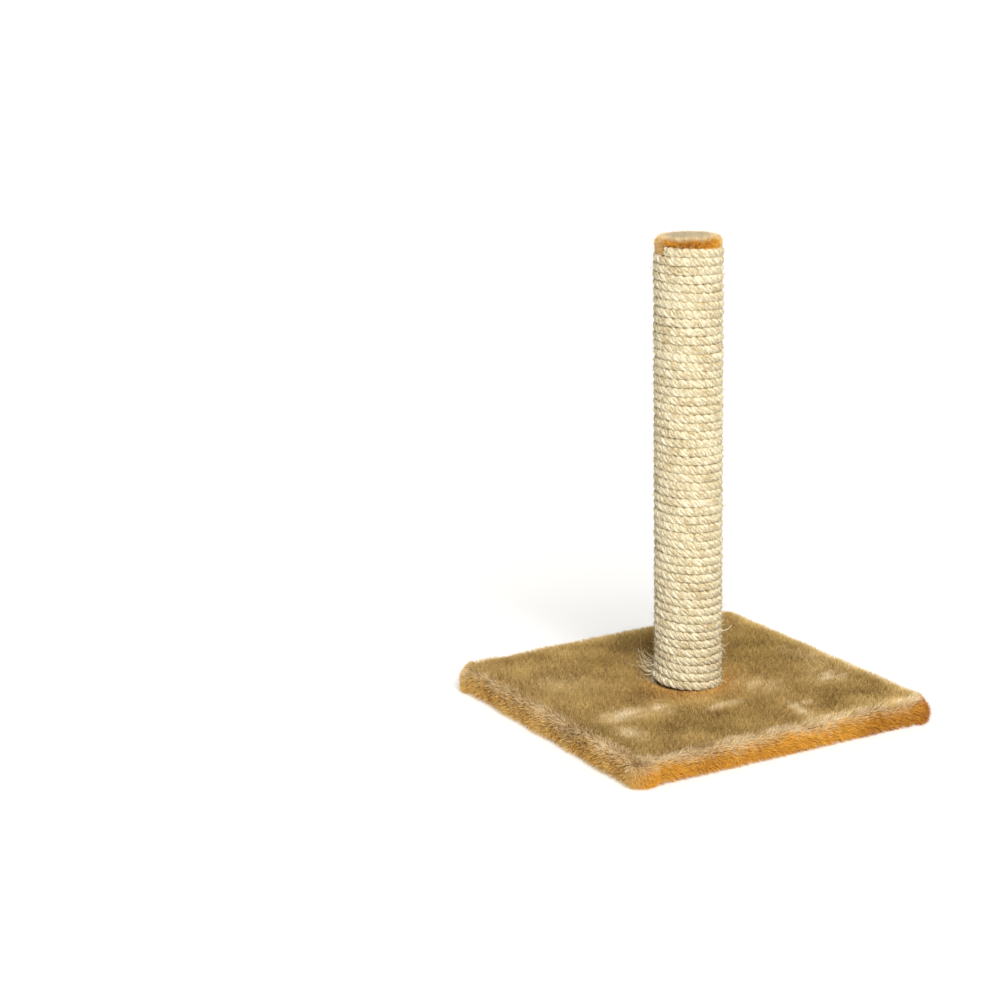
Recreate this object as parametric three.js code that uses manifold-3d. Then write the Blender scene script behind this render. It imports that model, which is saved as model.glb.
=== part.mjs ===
// Cat scratching post. A square board covered in plush carries an upright cardboard tube,
// which is wound from top to bottom with sisal rope and closed with a plush cap.
// Millimetres, +Z up. The origin is the middle of the underside, on the floor.
import * as THREE from 'three';
import { mergeVertices } from 'three/addons/utils/BufferGeometryUtils.js';
import Module from 'manifold-3d';

const wasm = await Module();
wasm.setup();

// ---- Driving dimensions ----------------------------------------------------------------------

const GAP = 0.3; // clearance kept wherever two pieces meet
const CUT_OVER = 1; // how far a cutting shape runs past the face that it opens

// Base: chipboard in a plush cover
const BOARD_SIDE = 287.4;
const BOARD_THICKNESS = 15;
const BOARD_CORNER_RADIUS = 8;
const BOLT_HOLE_DIAMETER = 9;
const COUNTERBORE_PLAY = 2; // round the washer
const PILE_THICKNESS = 6; // backing and standing pile, on the base's top and sides
const PRESSED_PLUSH = 2; // the same plush squeezed flat under the post
const HEM_THICKNESS = 3; // plush turned under the board
const HEM_WIDTH = 26;
const PLUSH_EDGE_RADIUS = 5.5;
const PLUSH_BOLT_HOLE_DIAMETER = 10;

// Staples that hold the hem to the board's underside
const STAPLES_PER_SIDE = 5;
const STAPLE_END_MARGIN = 39.7; // from the board's corner to the row's first staple
const STAPLE_CROWN = 10;
const STAPLE_LEG = 9;
const STAPLE_WIRE_WIDTH = 1.2;
const STAPLE_WIRE_THICKNESS = 0.7;
const STAPLE_RECESS = 0.5; // how far the crown sinks into the hem

// Post: cardboard tube with a wooden plug nailed into each end
const TUBE_LENGTH = 393;
const TUBE_OUTER_DIAMETER = 44;
const TUBE_WALL = 3;
const PLUG_LENGTH = 24;
const NAILS_PER_PLUG = 4;
const NAIL_LENGTH = 12;
const NAIL_DIAMETER = 1.6;
const NAIL_HEAD_DIAMETER = 4;
const NAIL_HEAD_THICKNESS = 0.8;

// M8 bolt, washer and tee nut that clamp the post to the base
const BOLT_DIAMETER = 8;
const BOLT_RUNOUT = 1.8; // how far the bolt's end shows above the tee nut
const BOLT_HEAD_SINK = 0.5; // how far the head lies above the board's underside
const BOLT_HEAD_ACROSS_FLATS = 13;
const BOLT_HEAD_HEIGHT = 5.3;
const WASHER_DIAMETER = 24;
const WASHER_THICKNESS = 1.6;
const WASHER_HOLE_DIAMETER = 8.8;
const TEE_NUT_BARREL_DIAMETER = 10;
const TEE_NUT_BARREL_LENGTH = 9;
const TEE_NUT_FLANGE_DIAMETER = 22;
const TEE_NUT_FLANGE_THICKNESS = 1.2;
const TEE_NUT_PRONGS = 3;
const TEE_NUT_PRONG_WIDTH = 3;
const TEE_NUT_PRONG_THICKNESS = 1;
const TEE_NUT_PRONG_LENGTH = 6;

// Sisal rope, wound downwards from just under the cap
const ROPE_THICKNESS = 7; // across the rope, from the tube outwards
const ROPE_PITCH = 7.38; // height that one turn takes
const ROPE_TURN_GAP = 0.5; // open height between one turn and the next
const ROPE_START_DEGREES = 188; // where the upper end lies, seen from above
const ROPE_FOOT_POWER = 4; // the last turn lands on the base as this power of the turn left
const ROPE_STEPS_PER_TURN = 12;
const ROPE_SIDES = 6;

// Plush cap over the tube's upper end
const CAP_PILE_THICKNESS = 6;
const CAP_SKIRT_HEIGHT = 3; // from under the cap's top down to the rope's upper end
const CAP_EDGE_RADIUS = 3.5;

// Facets
const ROUND_SEGMENTS = 36;
const SMALL_ROUND_SEGMENTS = 16;
const NAIL_SEGMENTS = 8;
const EDGE_SEGMENTS = 4;
const CORNER_SEGMENTS = 6;

// ---- Heights and radii that follow from them ------------------------------------------------

const boardBottom = HEM_THICKNESS + GAP;
const boardTop = boardBottom + BOARD_THICKNESS;
const coverInside = boardTop + GAP; // the plush cover's inner face, over the board
const coverTop = coverInside + PILE_THICKNESS;
const coverSide = BOARD_SIDE + 2 * (GAP + PILE_THICKNESS);
const seat = coverInside + PRESSED_PLUSH; // where the post stands
const postBottom = seat + GAP;
const postTop = postBottom + TUBE_LENGTH;
const tubeRadius = TUBE_OUTER_DIAMETER / 2;
const boreRadius = tubeRadius - TUBE_WALL;
const plugRadius = boreRadius - GAP;
const capInside = postTop + GAP;
const capTop = capInside + CAP_PILE_THICKNESS;
const capRim = capInside - CAP_SKIRT_HEIGHT;
const headBottom = boardBottom + BOLT_HEAD_SINK;
const headTop = headBottom + BOLT_HEAD_HEIGHT;
const washerBottom = headTop + GAP;
const washerTop = washerBottom + WASHER_THICKNESS;
const counterboreTop = washerTop + GAP;
const bottomPlugTop = postBottom + PLUG_LENGTH;
const flangeBottom = bottomPlugTop + GAP;
const flangeTop = flangeBottom + TEE_NUT_FLANGE_THICKNESS;

// A chord of the winding comes closer to the tube than its corners do, so the centre line
// stands off by the chord's sagitta.
const chordShare = Math.cos(Math.PI / ROPE_STEPS_PER_TURN);
const ropeCentreRadius = (tubeRadius + GAP) / chordShare + ROPE_THICKNESS / 2;
const ropeOuterRadius = ropeCentreRadius + ROPE_THICKNESS / 2;
const ropeHeight = ROPE_PITCH - ROPE_TURN_GAP;

// ---- Helpers --------------------------------------------------------------------------------

/** A closed manifold-3d solid from a geometry whose doubled vertices are merged first. */
function solidOf(geometry) {
  const plain = geometry.clone();
  plain.deleteAttribute('normal');
  plain.deleteAttribute('uv');
  const merged = mergeVertices(plain, 1e-4);
  return new wasm.Manifold(new wasm.Mesh({
    numProp: 3,
    vertProperties: merged.attributes.position.array,
    triVerts: new Uint32Array(merged.index.array),
  }));
}

/** A BufferGeometry with flat shading from a solid. */
function geometryOf(solid) {
  const mesh = solid.getMesh();
  const geometry = new THREE.BufferGeometry();
  geometry.setAttribute('position', new THREE.BufferAttribute(mesh.vertProperties, 3));
  geometry.setIndex(new THREE.BufferAttribute(mesh.triVerts, 1));
  return geometry.toNonIndexed();
}

/** The first geometry less all the others. */
function cut(geometry, ...tools) {
  return geometryOf(tools.reduce((left, tool) => left.subtract(solidOf(tool)), solidOf(geometry)));
}

/** All the geometries joined in one. */
function join(...geometries) {
  return geometryOf(geometries.map(solidOf).reduce((whole, next) => whole.add(next)));
}

/** An upright cylinder between two heights. */
function rod(radius, bottom, top, segments = ROUND_SEGMENTS) {
  const geometry = new THREE.CylinderGeometry(radius, radius, top - bottom, segments);
  return geometry.rotateX(Math.PI / 2).translate(0, 0, (top + bottom) / 2);
}

/** A box from its middle in plan and its two heights. */
function block(width, depth, bottom, top, x = 0, y = 0) {
  return new THREE.BoxGeometry(width, depth, top - bottom).translate(x, y, (top + bottom) / 2);
}

/** A square with rounded corners, centred on the axis. */
function roundedSquare(side, radius) {
  const half = side / 2;
  const reach = half - radius;
  const shape = new THREE.Shape();
  const corners = [[reach, -reach, -90], [reach, reach, 0], [-reach, reach, 90], [-reach, -reach, 180]];
  for (const [x, y, from] of corners) {
    for (let i = 0; i <= CORNER_SEGMENTS; i += 1) {
      const angle = THREE.MathUtils.degToRad(from + (90 * i) / CORNER_SEGMENTS);
      const point = [x + radius * Math.cos(angle), y + radius * Math.sin(angle)];
      if (shape.curves.length || i) shape.lineTo(...point);
      else shape.moveTo(...point);
    }
  }
  return shape;
}

/** A copy of a geometry turned about the axis. */
function turned(geometry, angle) {
  return geometry.clone().rotateZ(angle);
}

/** Evenly spaced angles round the axis. */
function anglesRound(count, first = 0) {
  return Array.from({ length: count }, (_, i) => first + (2 * Math.PI * i) / count);
}

const post = new THREE.Group();
const materials = {
  plush: new THREE.MeshStandardMaterial({ color: 0xb98f56, roughness: 0.95, metalness: 0 }),
  sisal: new THREE.MeshStandardMaterial({ color: 0xe6cf9c, roughness: 0.85, metalness: 0 }),
  chipboard: new THREE.MeshStandardMaterial({ color: 0xb8925f, roughness: 0.9, metalness: 0 }),
  cardboard: new THREE.MeshStandardMaterial({ color: 0xa07a50, roughness: 0.9, metalness: 0 }),
  pine: new THREE.MeshStandardMaterial({ color: 0xd8b684, roughness: 0.8, metalness: 0 }),
  zinc: new THREE.MeshStandardMaterial({ color: 0xc4c6c8, roughness: 0.35, metalness: 1 }),
};

/** Adds one named piece. */
function addPiece(parent, name, geometry, material) {
  const mesh = new THREE.Mesh(geometry, material);
  mesh.name = name;
  parent.add(mesh);
  return mesh;
}

// ---- Base -------------------------------------------------------------------------------------

/** A staple's outline, crown down, grown by a margin on every side. */
function stapleShape(margin = 0) {
  const crown = STAPLE_CROWN + 2 * margin;
  const leg = STAPLE_WIRE_THICKNESS + 2 * margin;
  const width = STAPLE_WIRE_WIDTH + 2 * margin;
  const crownBottom = STAPLE_RECESS - margin;
  const crownTop = STAPLE_RECESS + STAPLE_WIRE_THICKNESS + margin;
  const legTop = STAPLE_RECESS + STAPLE_LEG + margin;
  const legOffset = (STAPLE_CROWN - STAPLE_WIRE_THICKNESS) / 2;
  return join(
    block(crown, width, crownBottom, crownTop),
    block(leg, width, crownBottom, legTop, -legOffset),
    block(leg, width, crownBottom, legTop, legOffset),
  );
}

/** The slot that a staple leaves: its own shape with clearance, open towards the floor. */
function stapleSlot() {
  const mouth = block(
    STAPLE_CROWN + 2 * GAP,
    STAPLE_WIRE_WIDTH + 2 * GAP,
    -CUT_OVER,
    STAPLE_RECESS + STAPLE_WIRE_THICKNESS,
  );
  return join(stapleShape(GAP), mouth);
}

/** Where each staple sits: along the middle of the hem on all four sides. */
function staplePlaces() {
  const places = [];
  const fromAxis = BOARD_SIDE / 2 - HEM_WIDTH / 2;
  const spacing = (BOARD_SIDE - 2 * STAPLE_END_MARGIN) / (STAPLES_PER_SIDE - 1);
  const sideNames = ['front', 'right', 'back', 'left'];
  sideNames.forEach((side, sideIndex) => {
    for (let i = 0; i < STAPLES_PER_SIDE; i += 1) {
      const along = (i - (STAPLES_PER_SIDE - 1) / 2) * spacing;
      places.push({
        name: `hem_staple_${side}_${i + 1}`,
        along,
        fromAxis,
        angle: (sideIndex * Math.PI) / 2,
      });
    }
  });
  return places;
}

function atPlace(geometry, place) {
  return geometry.clone().translate(place.along, -place.fromAxis, 0).rotateZ(place.angle);
}

function buildBoard(slots) {
  const outline = roundedSquare(BOARD_SIDE, BOARD_CORNER_RADIUS);
  const slab = new THREE.ExtrudeGeometry(outline, { depth: BOARD_THICKNESS, bevelEnabled: false })
    .translate(0, 0, boardBottom);
  return cut(
    slab,
    rod(BOLT_HOLE_DIAMETER / 2, boardBottom - CUT_OVER, boardTop + CUT_OVER, SMALL_ROUND_SEGMENTS),
    rod(WASHER_DIAMETER / 2 + COUNTERBORE_PLAY, boardBottom - CUT_OVER, counterboreTop),
    ...slots,
  );
}

/** The plush: a soft-edged slab, hollowed for the board and open under it inside the hem. */
function buildCover(slots) {
  const cornerRadius = BOARD_CORNER_RADIUS + GAP + PILE_THICKNESS;
  const body = new THREE.ExtrudeGeometry(roundedSquare(coverSide, cornerRadius), {
    depth: coverTop - 2 * PLUSH_EDGE_RADIUS,
    bevelThickness: PLUSH_EDGE_RADIUS,
    bevelSize: PLUSH_EDGE_RADIUS,
    bevelOffset: -PLUSH_EDGE_RADIUS,
    bevelSegments: EDGE_SEGMENTS,
  }).translate(0, 0, PLUSH_EDGE_RADIUS);
  const boardSpace = new THREE.ExtrudeGeometry(
    roundedSquare(BOARD_SIDE + 2 * GAP, BOARD_CORNER_RADIUS + GAP),
    { depth: coverInside - HEM_THICKNESS, bevelEnabled: false },
  ).translate(0, 0, HEM_THICKNESS);
  const windowSide = BOARD_SIDE - 2 * HEM_WIDTH;
  return cut(
    body,
    boardSpace,
    block(windowSide, windowSide, -CUT_OVER, HEM_THICKNESS + CUT_OVER),
    rod(ropeOuterRadius + GAP, seat, coverTop + CUT_OVER),
    rod(PLUSH_BOLT_HOLE_DIAMETER / 2, HEM_THICKNESS, coverTop, SMALL_ROUND_SEGMENTS),
    ...slots,
  );
}

function addBase() {
  const base = new THREE.Group();
  const places = staplePlaces();
  const slots = places.map((place) => atPlace(stapleSlot(), place));
  addPiece(base, 'base_board', buildBoard(slots), materials.chipboard);
  addPiece(base, 'base_plush_cover', buildCover(slots), materials.plush);
  for (const place of places) {
    addPiece(base, place.name, atPlace(stapleShape(), place), materials.zinc);
  }
  post.add(base);
}

// ---- Bolt, washer and tee nut -------------------------------------------------------------------

function buildBolt() {
  const headCorner = BOLT_HEAD_ACROSS_FLATS / 2 / Math.cos(Math.PI / 6);
  const insideHead = (headBottom + headTop) / 2;
  const tip = flangeTop + BOLT_RUNOUT;
  return join(
    rod(headCorner, headBottom, headTop, 6),
    rod(BOLT_DIAMETER / 2, insideHead, tip, SMALL_ROUND_SEGMENTS),
  );
}

function buildWasher() {
  const hole = rod(
    WASHER_HOLE_DIAMETER / 2,
    washerBottom - CUT_OVER,
    washerTop + CUT_OVER,
    SMALL_ROUND_SEGMENTS,
  );
  return cut(rod(WASHER_DIAMETER / 2, washerBottom, washerTop), hole);
}

/** The prongs bent down from the tee nut's flange, grown by a margin for the wood that they bite. */
function prongs(margin = 0) {
  const fromAxis = TEE_NUT_FLANGE_DIAMETER / 2 - TEE_NUT_PRONG_THICKNESS;
  const prong = block(
    TEE_NUT_PRONG_THICKNESS + 2 * margin,
    TEE_NUT_PRONG_WIDTH + 2 * margin,
    flangeBottom - TEE_NUT_PRONG_LENGTH - margin,
    flangeBottom + TEE_NUT_FLANGE_THICKNESS / 2,
    fromAxis,
  );
  return anglesRound(TEE_NUT_PRONGS).map((angle) => turned(prong, angle));
}

function buildTeeNut() {
  const barrelBottom = flangeBottom - TEE_NUT_BARREL_LENGTH;
  const flange = rod(TEE_NUT_FLANGE_DIAMETER / 2, flangeBottom, flangeTop);
  const barrel = rod(TEE_NUT_BARREL_DIAMETER / 2, barrelBottom, flangeTop, SMALL_ROUND_SEGMENTS);
  const bore = rod(
    BOLT_DIAMETER / 2 + GAP,
    barrelBottom - CUT_OVER,
    flangeTop + CUT_OVER,
    SMALL_ROUND_SEGMENTS,
  );
  return cut(join(flange, barrel, ...prongs()), bore);
}

function addBoltSet() {
  const boltSet = new THREE.Group();
  addPiece(boltSet, 'post_bolt', buildBolt(), materials.zinc);
  addPiece(boltSet, 'bolt_washer', buildWasher(), materials.zinc);
  addPiece(boltSet, 'tee_nut', buildTeeNut(), materials.zinc);
  post.add(boltSet);
}

// ---- Tube, plugs and nails ----------------------------------------------------------------------

/** A flat-headed nail that points at the axis, grown by a margin. */
function nail(height, margin = 0) {
  const headOutside = tubeRadius * Math.cos(Math.PI / ROUND_SEGMENTS) - GAP;
  const headInside = headOutside - NAIL_HEAD_THICKNESS;
  const tip = headOutside - NAIL_LENGTH;
  const openTo = margin ? tubeRadius + CUT_OVER : headOutside;
  const insideHead = headInside + NAIL_HEAD_THICKNESS / 2;
  const shank = rod(NAIL_DIAMETER / 2 + margin, tip - margin, insideHead, NAIL_SEGMENTS);
  const head = rod(NAIL_HEAD_DIAMETER / 2 + margin, headInside - margin, openTo, NAIL_SEGMENTS);
  return join(shank, head).rotateY(Math.PI / 2).translate(0, 0, height);
}

function buildTube(nailHoles) {
  return cut(
    rod(tubeRadius, postBottom, postTop),
    rod(boreRadius, postBottom - CUT_OVER, postTop + CUT_OVER),
    ...nailHoles,
  );
}

function buildBottomPlug(nailHoles) {
  const barrelHole = TEE_NUT_BARREL_DIAMETER / 2 + GAP;
  return cut(
    rod(plugRadius, postBottom, bottomPlugTop),
    rod(barrelHole, postBottom - CUT_OVER, bottomPlugTop + CUT_OVER, SMALL_ROUND_SEGMENTS),
    ...prongs(GAP),
    ...nailHoles,
  );
}

function addTubeAndPlugs() {
  const core = new THREE.Group();
  const angles = anglesRound(NAILS_PER_PLUG, Math.PI / NAILS_PER_PLUG);
  const nailHeights = { bottom: postBottom + PLUG_LENGTH / 2, top: postTop - PLUG_LENGTH / 2 };
  const holes = {};
  for (const [end, height] of Object.entries(nailHeights)) {
    holes[end] = angles.map((angle) => turned(nail(height, GAP), angle));
    angles.forEach((angle, i) => {
      addPiece(core, `${end}_plug_nail_${i + 1}`, turned(nail(height), angle), materials.zinc);
    });
  }
  addPiece(core, 'post_tube', buildTube([...holes.bottom, ...holes.top]), materials.cardboard);
  addPiece(core, 'bottom_plug', buildBottomPlug(holes.bottom), materials.pine);
  const topPlug = cut(rod(plugRadius, postTop - PLUG_LENGTH, postTop), ...holes.top);
  addPiece(core, 'top_plug', topPlug, materials.pine);
  post.add(core);
}

// ---- Sisal rope -----------------------------------------------------------------------------------

// The rope is one length. It is drawn as three stretches that meet end to end, so that none
// has more than 24 turns.
const STRETCHES = ['sisal_rope_upper', 'sisal_rope_middle', 'sisal_rope_lower'];
const ropeTop = capRim - GAP;
const woundHeight = ropeTop - postBottom - ropeHeight; // from the centre of one end to the other's
const ropeSteps = Math.round((woundHeight / ROPE_PITCH) * ROPE_STEPS_PER_TURN);
const stepDrop = woundHeight / ropeSteps;
const pitch = stepDrop * ROPE_STEPS_PER_TURN;
const stepAngle = (2 * Math.PI) / ROPE_STEPS_PER_TURN;
const ropeStart = THREE.MathUtils.degToRad(ROPE_START_DEGREES);

/**
 * How far a place on the winding lies below an even helix. The last turn flattens out on the base,
 * and each turn above it follows the one below, less and less towards the top.
 */
function footDip(step) {
  const turnsLeft = (ropeSteps - step) / ROPE_STEPS_PER_TURN;
  const turnLeft = turnsLeft - Math.floor(turnsLeft);
  return pitch * (turnLeft - turnLeft ** ROPE_FOOT_POWER) * (step / ropeSteps) ** 2;
}

/** The points of the rope's section at a place along the winding, counted in steps from its top. */
function ropeRing(step) {
  const angle = ropeStart + step * stepAngle;
  const height = ropeTop - ropeHeight / 2 - step * stepDrop - footDip(step);
  const halfAcross = ROPE_THICKNESS / 2 / Math.cos(Math.PI / ROPE_SIDES);
  return Array.from({ length: ROPE_SIDES }, (_, i) => {
    const around = Math.PI / 2 + (2 * Math.PI * i) / ROPE_SIDES;
    const radius = ropeCentreRadius + halfAcross * Math.cos(around);
    return new THREE.Vector3(
      radius * Math.cos(angle),
      radius * Math.sin(angle),
      height + (ropeHeight / 2) * Math.sin(around),
    );
  });
}

/** The rings of one stretch. Its ends stand half a gap back from the places where stretches meet. */
function stretchRings(first, last) {
  const setBack = GAP / 2 / ropeCentreRadius / stepAngle;
  const rings = [];
  for (let step = first; step <= last; step += 1) {
    const shift = (step === first ? setBack : 0) - (step === last ? setBack : 0);
    rings.push(ropeRing(step + shift));
  }
  return rings;
}

/** One unbroken tube through the rings, closed at both ends. */
function tubeThrough(rings) {
  const positions = rings.flat().flatMap((point) => point.toArray());
  const index = [];
  const at = (ring, side) => ring * ROPE_SIDES + (side % ROPE_SIDES);
  for (let ring = 0; ring < rings.length - 1; ring += 1) {
    for (let side = 0; side < ROPE_SIDES; side += 1) {
      index.push(at(ring, side), at(ring + 1, side), at(ring, side + 1));
      index.push(at(ring, side + 1), at(ring + 1, side), at(ring + 1, side + 1));
    }
  }
  for (let side = 1; side < ROPE_SIDES - 1; side += 1) {
    index.push(at(0, 0), at(0, side), at(0, side + 1));
    index.push(at(rings.length - 1, 0), at(rings.length - 1, side + 1), at(rings.length - 1, side));
  }
  const geometry = new THREE.BufferGeometry();
  geometry.setAttribute('position', new THREE.Float32BufferAttribute(positions, 3));
  geometry.setIndex(index);
  return geometry;
}

/** The least distance between points of the winding that lie at least half a turn apart on it. */
function leastGap(rings) {
  let least = Infinity;
  rings.forEach((ring, i) => {
    const from = i + ROPE_STEPS_PER_TURN / 2;
    const to = i + 2 * ROPE_STEPS_PER_TURN;
    for (const other of rings.slice(from, to).flat()) {
      for (const point of ring) least = Math.min(least, point.distanceTo(other));
    }
  });
  return least;
}

function addRope() {
  const rope = new THREE.Group();
  const bounds = STRETCHES.map((_, i) => Math.round((i * ropeSteps) / STRETCHES.length));
  STRETCHES.forEach((name, i) => {
    const last = i + 1 < STRETCHES.length ? bounds[i + 1] : ropeSteps;
    const rings = stretchRings(bounds[i], last);
    const turns = (last - bounds[i]) / ROPE_STEPS_PER_TURN;
    console.log(`${name}: ${turns.toFixed(2)} turns, least gap ${leastGap(rings).toFixed(2)} mm`);
    addPiece(rope, name, tubeThrough(rings), materials.sisal);
  });
  post.add(rope);
}

// ---- Plush cap ------------------------------------------------------------------------------------

/** How far the cap's rim has come down, in turns of rope, at an angle past the rope's upper end. */
function rimDrop(angle) {
  const past = (angle - ropeStart) / (2 * Math.PI);
  const share = past - Math.floor(past);
  const rise = 1 / ROUND_SEGMENTS; // the rim climbs back just before the rope's end
  return share <= 1 - rise ? share : (1 - share) * ((1 - rise) / rise);
}

/** A round cap over the tube's end. Its rim follows the slope of the rope's first turn. */
function addCap() {
  const outer = ropeOuterRadius;
  const inner = tubeRadius + GAP;
  const profile = [new THREE.Vector2(0, capInside), new THREE.Vector2(inner, capInside)];
  profile.push(new THREE.Vector2(inner, capRim), new THREE.Vector2(outer, capRim));
  for (let i = 0; i <= EDGE_SEGMENTS; i += 1) {
    const angle = (Math.PI / 2) * (i / EDGE_SEGMENTS);
    profile.push(new THREE.Vector2(
      outer - CAP_EDGE_RADIUS * (1 - Math.cos(angle)),
      capTop - CAP_EDGE_RADIUS * (1 - Math.sin(angle)),
    ));
  }
  profile.push(new THREE.Vector2(0, capTop));
  const geometry = new THREE.LatheGeometry(profile, ROUND_SEGMENTS).rotateX(Math.PI / 2)
    .rotateZ(ropeStart);
  const position = geometry.attributes.position;
  for (let i = 0; i < position.count; i += 1) {
    if (Math.abs(position.getZ(i) - capRim) < 1e-3) {
      const angle = Math.atan2(position.getY(i), position.getX(i));
      position.setZ(i, capRim - pitch * rimDrop(angle));
    }
  }
  addPiece(post, 'top_plush_cap', geometry, materials.plush);
}

addBase();
addBoltSet();
addTubeAndPlugs();
addRope();
addCap();

export default post;
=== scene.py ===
from math import cos, pi, radians, sin

import bpy
import numpy as np
from mathutils import Matrix, Vector


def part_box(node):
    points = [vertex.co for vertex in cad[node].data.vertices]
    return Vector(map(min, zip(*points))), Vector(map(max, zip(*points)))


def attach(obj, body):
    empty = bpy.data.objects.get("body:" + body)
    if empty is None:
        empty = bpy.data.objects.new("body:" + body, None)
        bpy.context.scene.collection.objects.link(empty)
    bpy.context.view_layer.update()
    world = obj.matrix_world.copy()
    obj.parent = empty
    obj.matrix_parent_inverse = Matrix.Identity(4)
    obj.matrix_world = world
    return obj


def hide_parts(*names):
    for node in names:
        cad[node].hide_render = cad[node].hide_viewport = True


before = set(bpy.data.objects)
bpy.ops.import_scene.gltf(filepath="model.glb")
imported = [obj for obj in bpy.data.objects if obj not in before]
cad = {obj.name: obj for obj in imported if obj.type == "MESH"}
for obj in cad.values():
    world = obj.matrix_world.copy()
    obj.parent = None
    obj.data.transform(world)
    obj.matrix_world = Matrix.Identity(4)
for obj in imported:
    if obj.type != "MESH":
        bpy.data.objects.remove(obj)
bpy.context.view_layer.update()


# ---- Camera -------------------------------------------------------------------------------------
# The photograph looks down a little on the base, past its near corner, with the post right of
# the middle. The picture is square and its lens isn't shifted.

PICTURE = 1000  # pixels a side
FOCAL_LENGTH = 2289  # in pixels
SENSOR = 36  # millimetres
LOOKS_TURNED = radians(29.0)  # from +Y towards +X
LOOKS_DOWN = radians(14.48)
CAMERA_ROLL = radians(-1.16)
CAMERA_DEPTH = 2.036  # along the view to the middle of the base's underside
BASE_MIDDLE_PIXEL = (688.0, 705.0)

view = Vector((sin(LOOKS_TURNED) * cos(LOOKS_DOWN), cos(LOOKS_TURNED) * cos(LOOKS_DOWN), -sin(LOOKS_DOWN)))
level = Vector((cos(LOOKS_TURNED), -sin(LOOKS_TURNED), 0))
upright = level.cross(view)
picture_right = level * cos(CAMERA_ROLL) + upright * sin(CAMERA_ROLL)
picture_up = upright * cos(CAMERA_ROLL) - level * sin(CAMERA_ROLL)
aside, below = [(pixel - PICTURE / 2) / FOCAL_LENGTH for pixel in BASE_MIDDLE_PIXEL]

camera = bpy.data.objects.new("camera", bpy.data.cameras.new("camera"))
camera.data.sensor_width = SENSOR
camera.data.lens = FOCAL_LENGTH / PICTURE * SENSOR
turn = Matrix((picture_right, picture_up, -view)).transposed().to_4x4()
camera.matrix_world = Matrix.Translation(
    -CAMERA_DEPTH * (view + picture_right * aside - picture_up * below)) @ turn
bpy.context.scene.collection.objects.link(camera)
bpy.context.scene.camera = camera


# ---- Floor and light ----------------------------------------------------------------------------
# A plain white studio floor that glows a little, as a lit white sweep does, under an even sky.
# One large soft light stands in front, a little right of the camera, so the post darkens round
# both its sides and more round the left.

FLOOR_REACH = 40.0
FLOOR_WHITE = (0.80, 0.80, 0.80)
FLOOR_GLOW = 0.30
FLOOR_ROUGHNESS = 0.9
SKY_STRENGTH = 0.30
KEY_STRENGTH = 3.4
KEY_SPREAD = radians(34)
KEY_COLOUR = (1.0, 0.97, 0.92)
KEY_FROM = (-0.55, -1.45, 1.3)

floor_mesh = bpy.data.meshes.new("floor")
floor_mesh.from_pydata(
    [(x * FLOOR_REACH, y * FLOOR_REACH, 0) for x, y in ((-1, -1), (1, -1), (1, 1), (-1, 1))],
    [], [(0, 1, 2, 3)])
floor = bpy.data.objects.new("floor", floor_mesh)
bpy.context.scene.collection.objects.link(floor)
floor_paint = bpy.data.materials.new("floor_paint")
floor_paint.use_nodes = True
floor_shader = floor_paint.node_tree.nodes["Principled BSDF"]
floor_shader.inputs["Base Color"].default_value = (*FLOOR_WHITE, 1)
floor_shader.inputs["Roughness"].default_value = FLOOR_ROUGHNESS
floor_shader.inputs["Emission Color"].default_value = (1, 1, 1, 1)
floor_shader.inputs["Emission Strength"].default_value = FLOOR_GLOW
floor_mesh.materials.append(floor_paint)

sky = bpy.data.worlds.new("sky")
sky.use_nodes = True
sky.node_tree.nodes["Background"].inputs["Color"].default_value = (1, 1, 1, 1)
sky.node_tree.nodes["Background"].inputs["Strength"].default_value = SKY_STRENGTH
bpy.context.scene.world = sky
bpy.context.scene.view_settings.view_transform = "Standard"

key = bpy.data.lights.new("key", "SUN")
key.energy = KEY_STRENGTH
key.angle = KEY_SPREAD
key.color = KEY_COLOUR
key_light = bpy.data.objects.new("key", key)
key_light.matrix_world = (-Vector(KEY_FROM)).to_track_quat("-Z", "Y").to_matrix().to_4x4()
bpy.context.scene.collection.objects.link(key_light)


# ---- Base board ---------------------------------------------------------------------------------
# A square of raw chipboard with a bolt hole through its middle, counterbored from below. It gives
# the base its weight, and shows only from underneath, inside the hem.

CHIP_LIGHT = (0.60, 0.42, 0.22)
CHIP_DARK = (0.27, 0.16, 0.07)
CHIPS = 260  # to the metre
CHIP_STRETCH = (1, 0.45, 1)
CHIP_TURN = (0, 0, 0.6)
CHIP_GRAIN = 900  # to the metre
CHIP_RELIEF = 0.0003


def new_finish(name, roughness, metallic=0.0, sheen=0.0, sheen_tint=(1, 1, 1)):
    """A finish with the values that are the same all over, its node tree and its shader."""
    finish = bpy.data.materials.new(name)
    finish.use_nodes = True
    shader = finish.node_tree.nodes["Principled BSDF"]
    shader.inputs["Roughness"].default_value = roughness
    shader.inputs["Metallic"].default_value = metallic
    shader.inputs["Sheen Weight"].default_value = sheen
    shader.inputs["Sheen Tint"].default_value = (*sheen_tint, 1)
    return finish, finish.node_tree, shader


def coordinates(tree, kind="Object", stretch=(1, 1, 1), tilt=(0, 0, 0)):
    """The piece's own coordinates, stretched and turned."""
    source = tree.nodes.new("ShaderNodeTexCoord")
    mapping = tree.nodes.new("ShaderNodeMapping")
    mapping.inputs["Scale"].default_value = stretch
    mapping.inputs["Rotation"].default_value = tilt
    tree.links.new(source.outputs[kind], mapping.inputs["Vector"])
    return mapping.outputs["Vector"]


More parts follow.
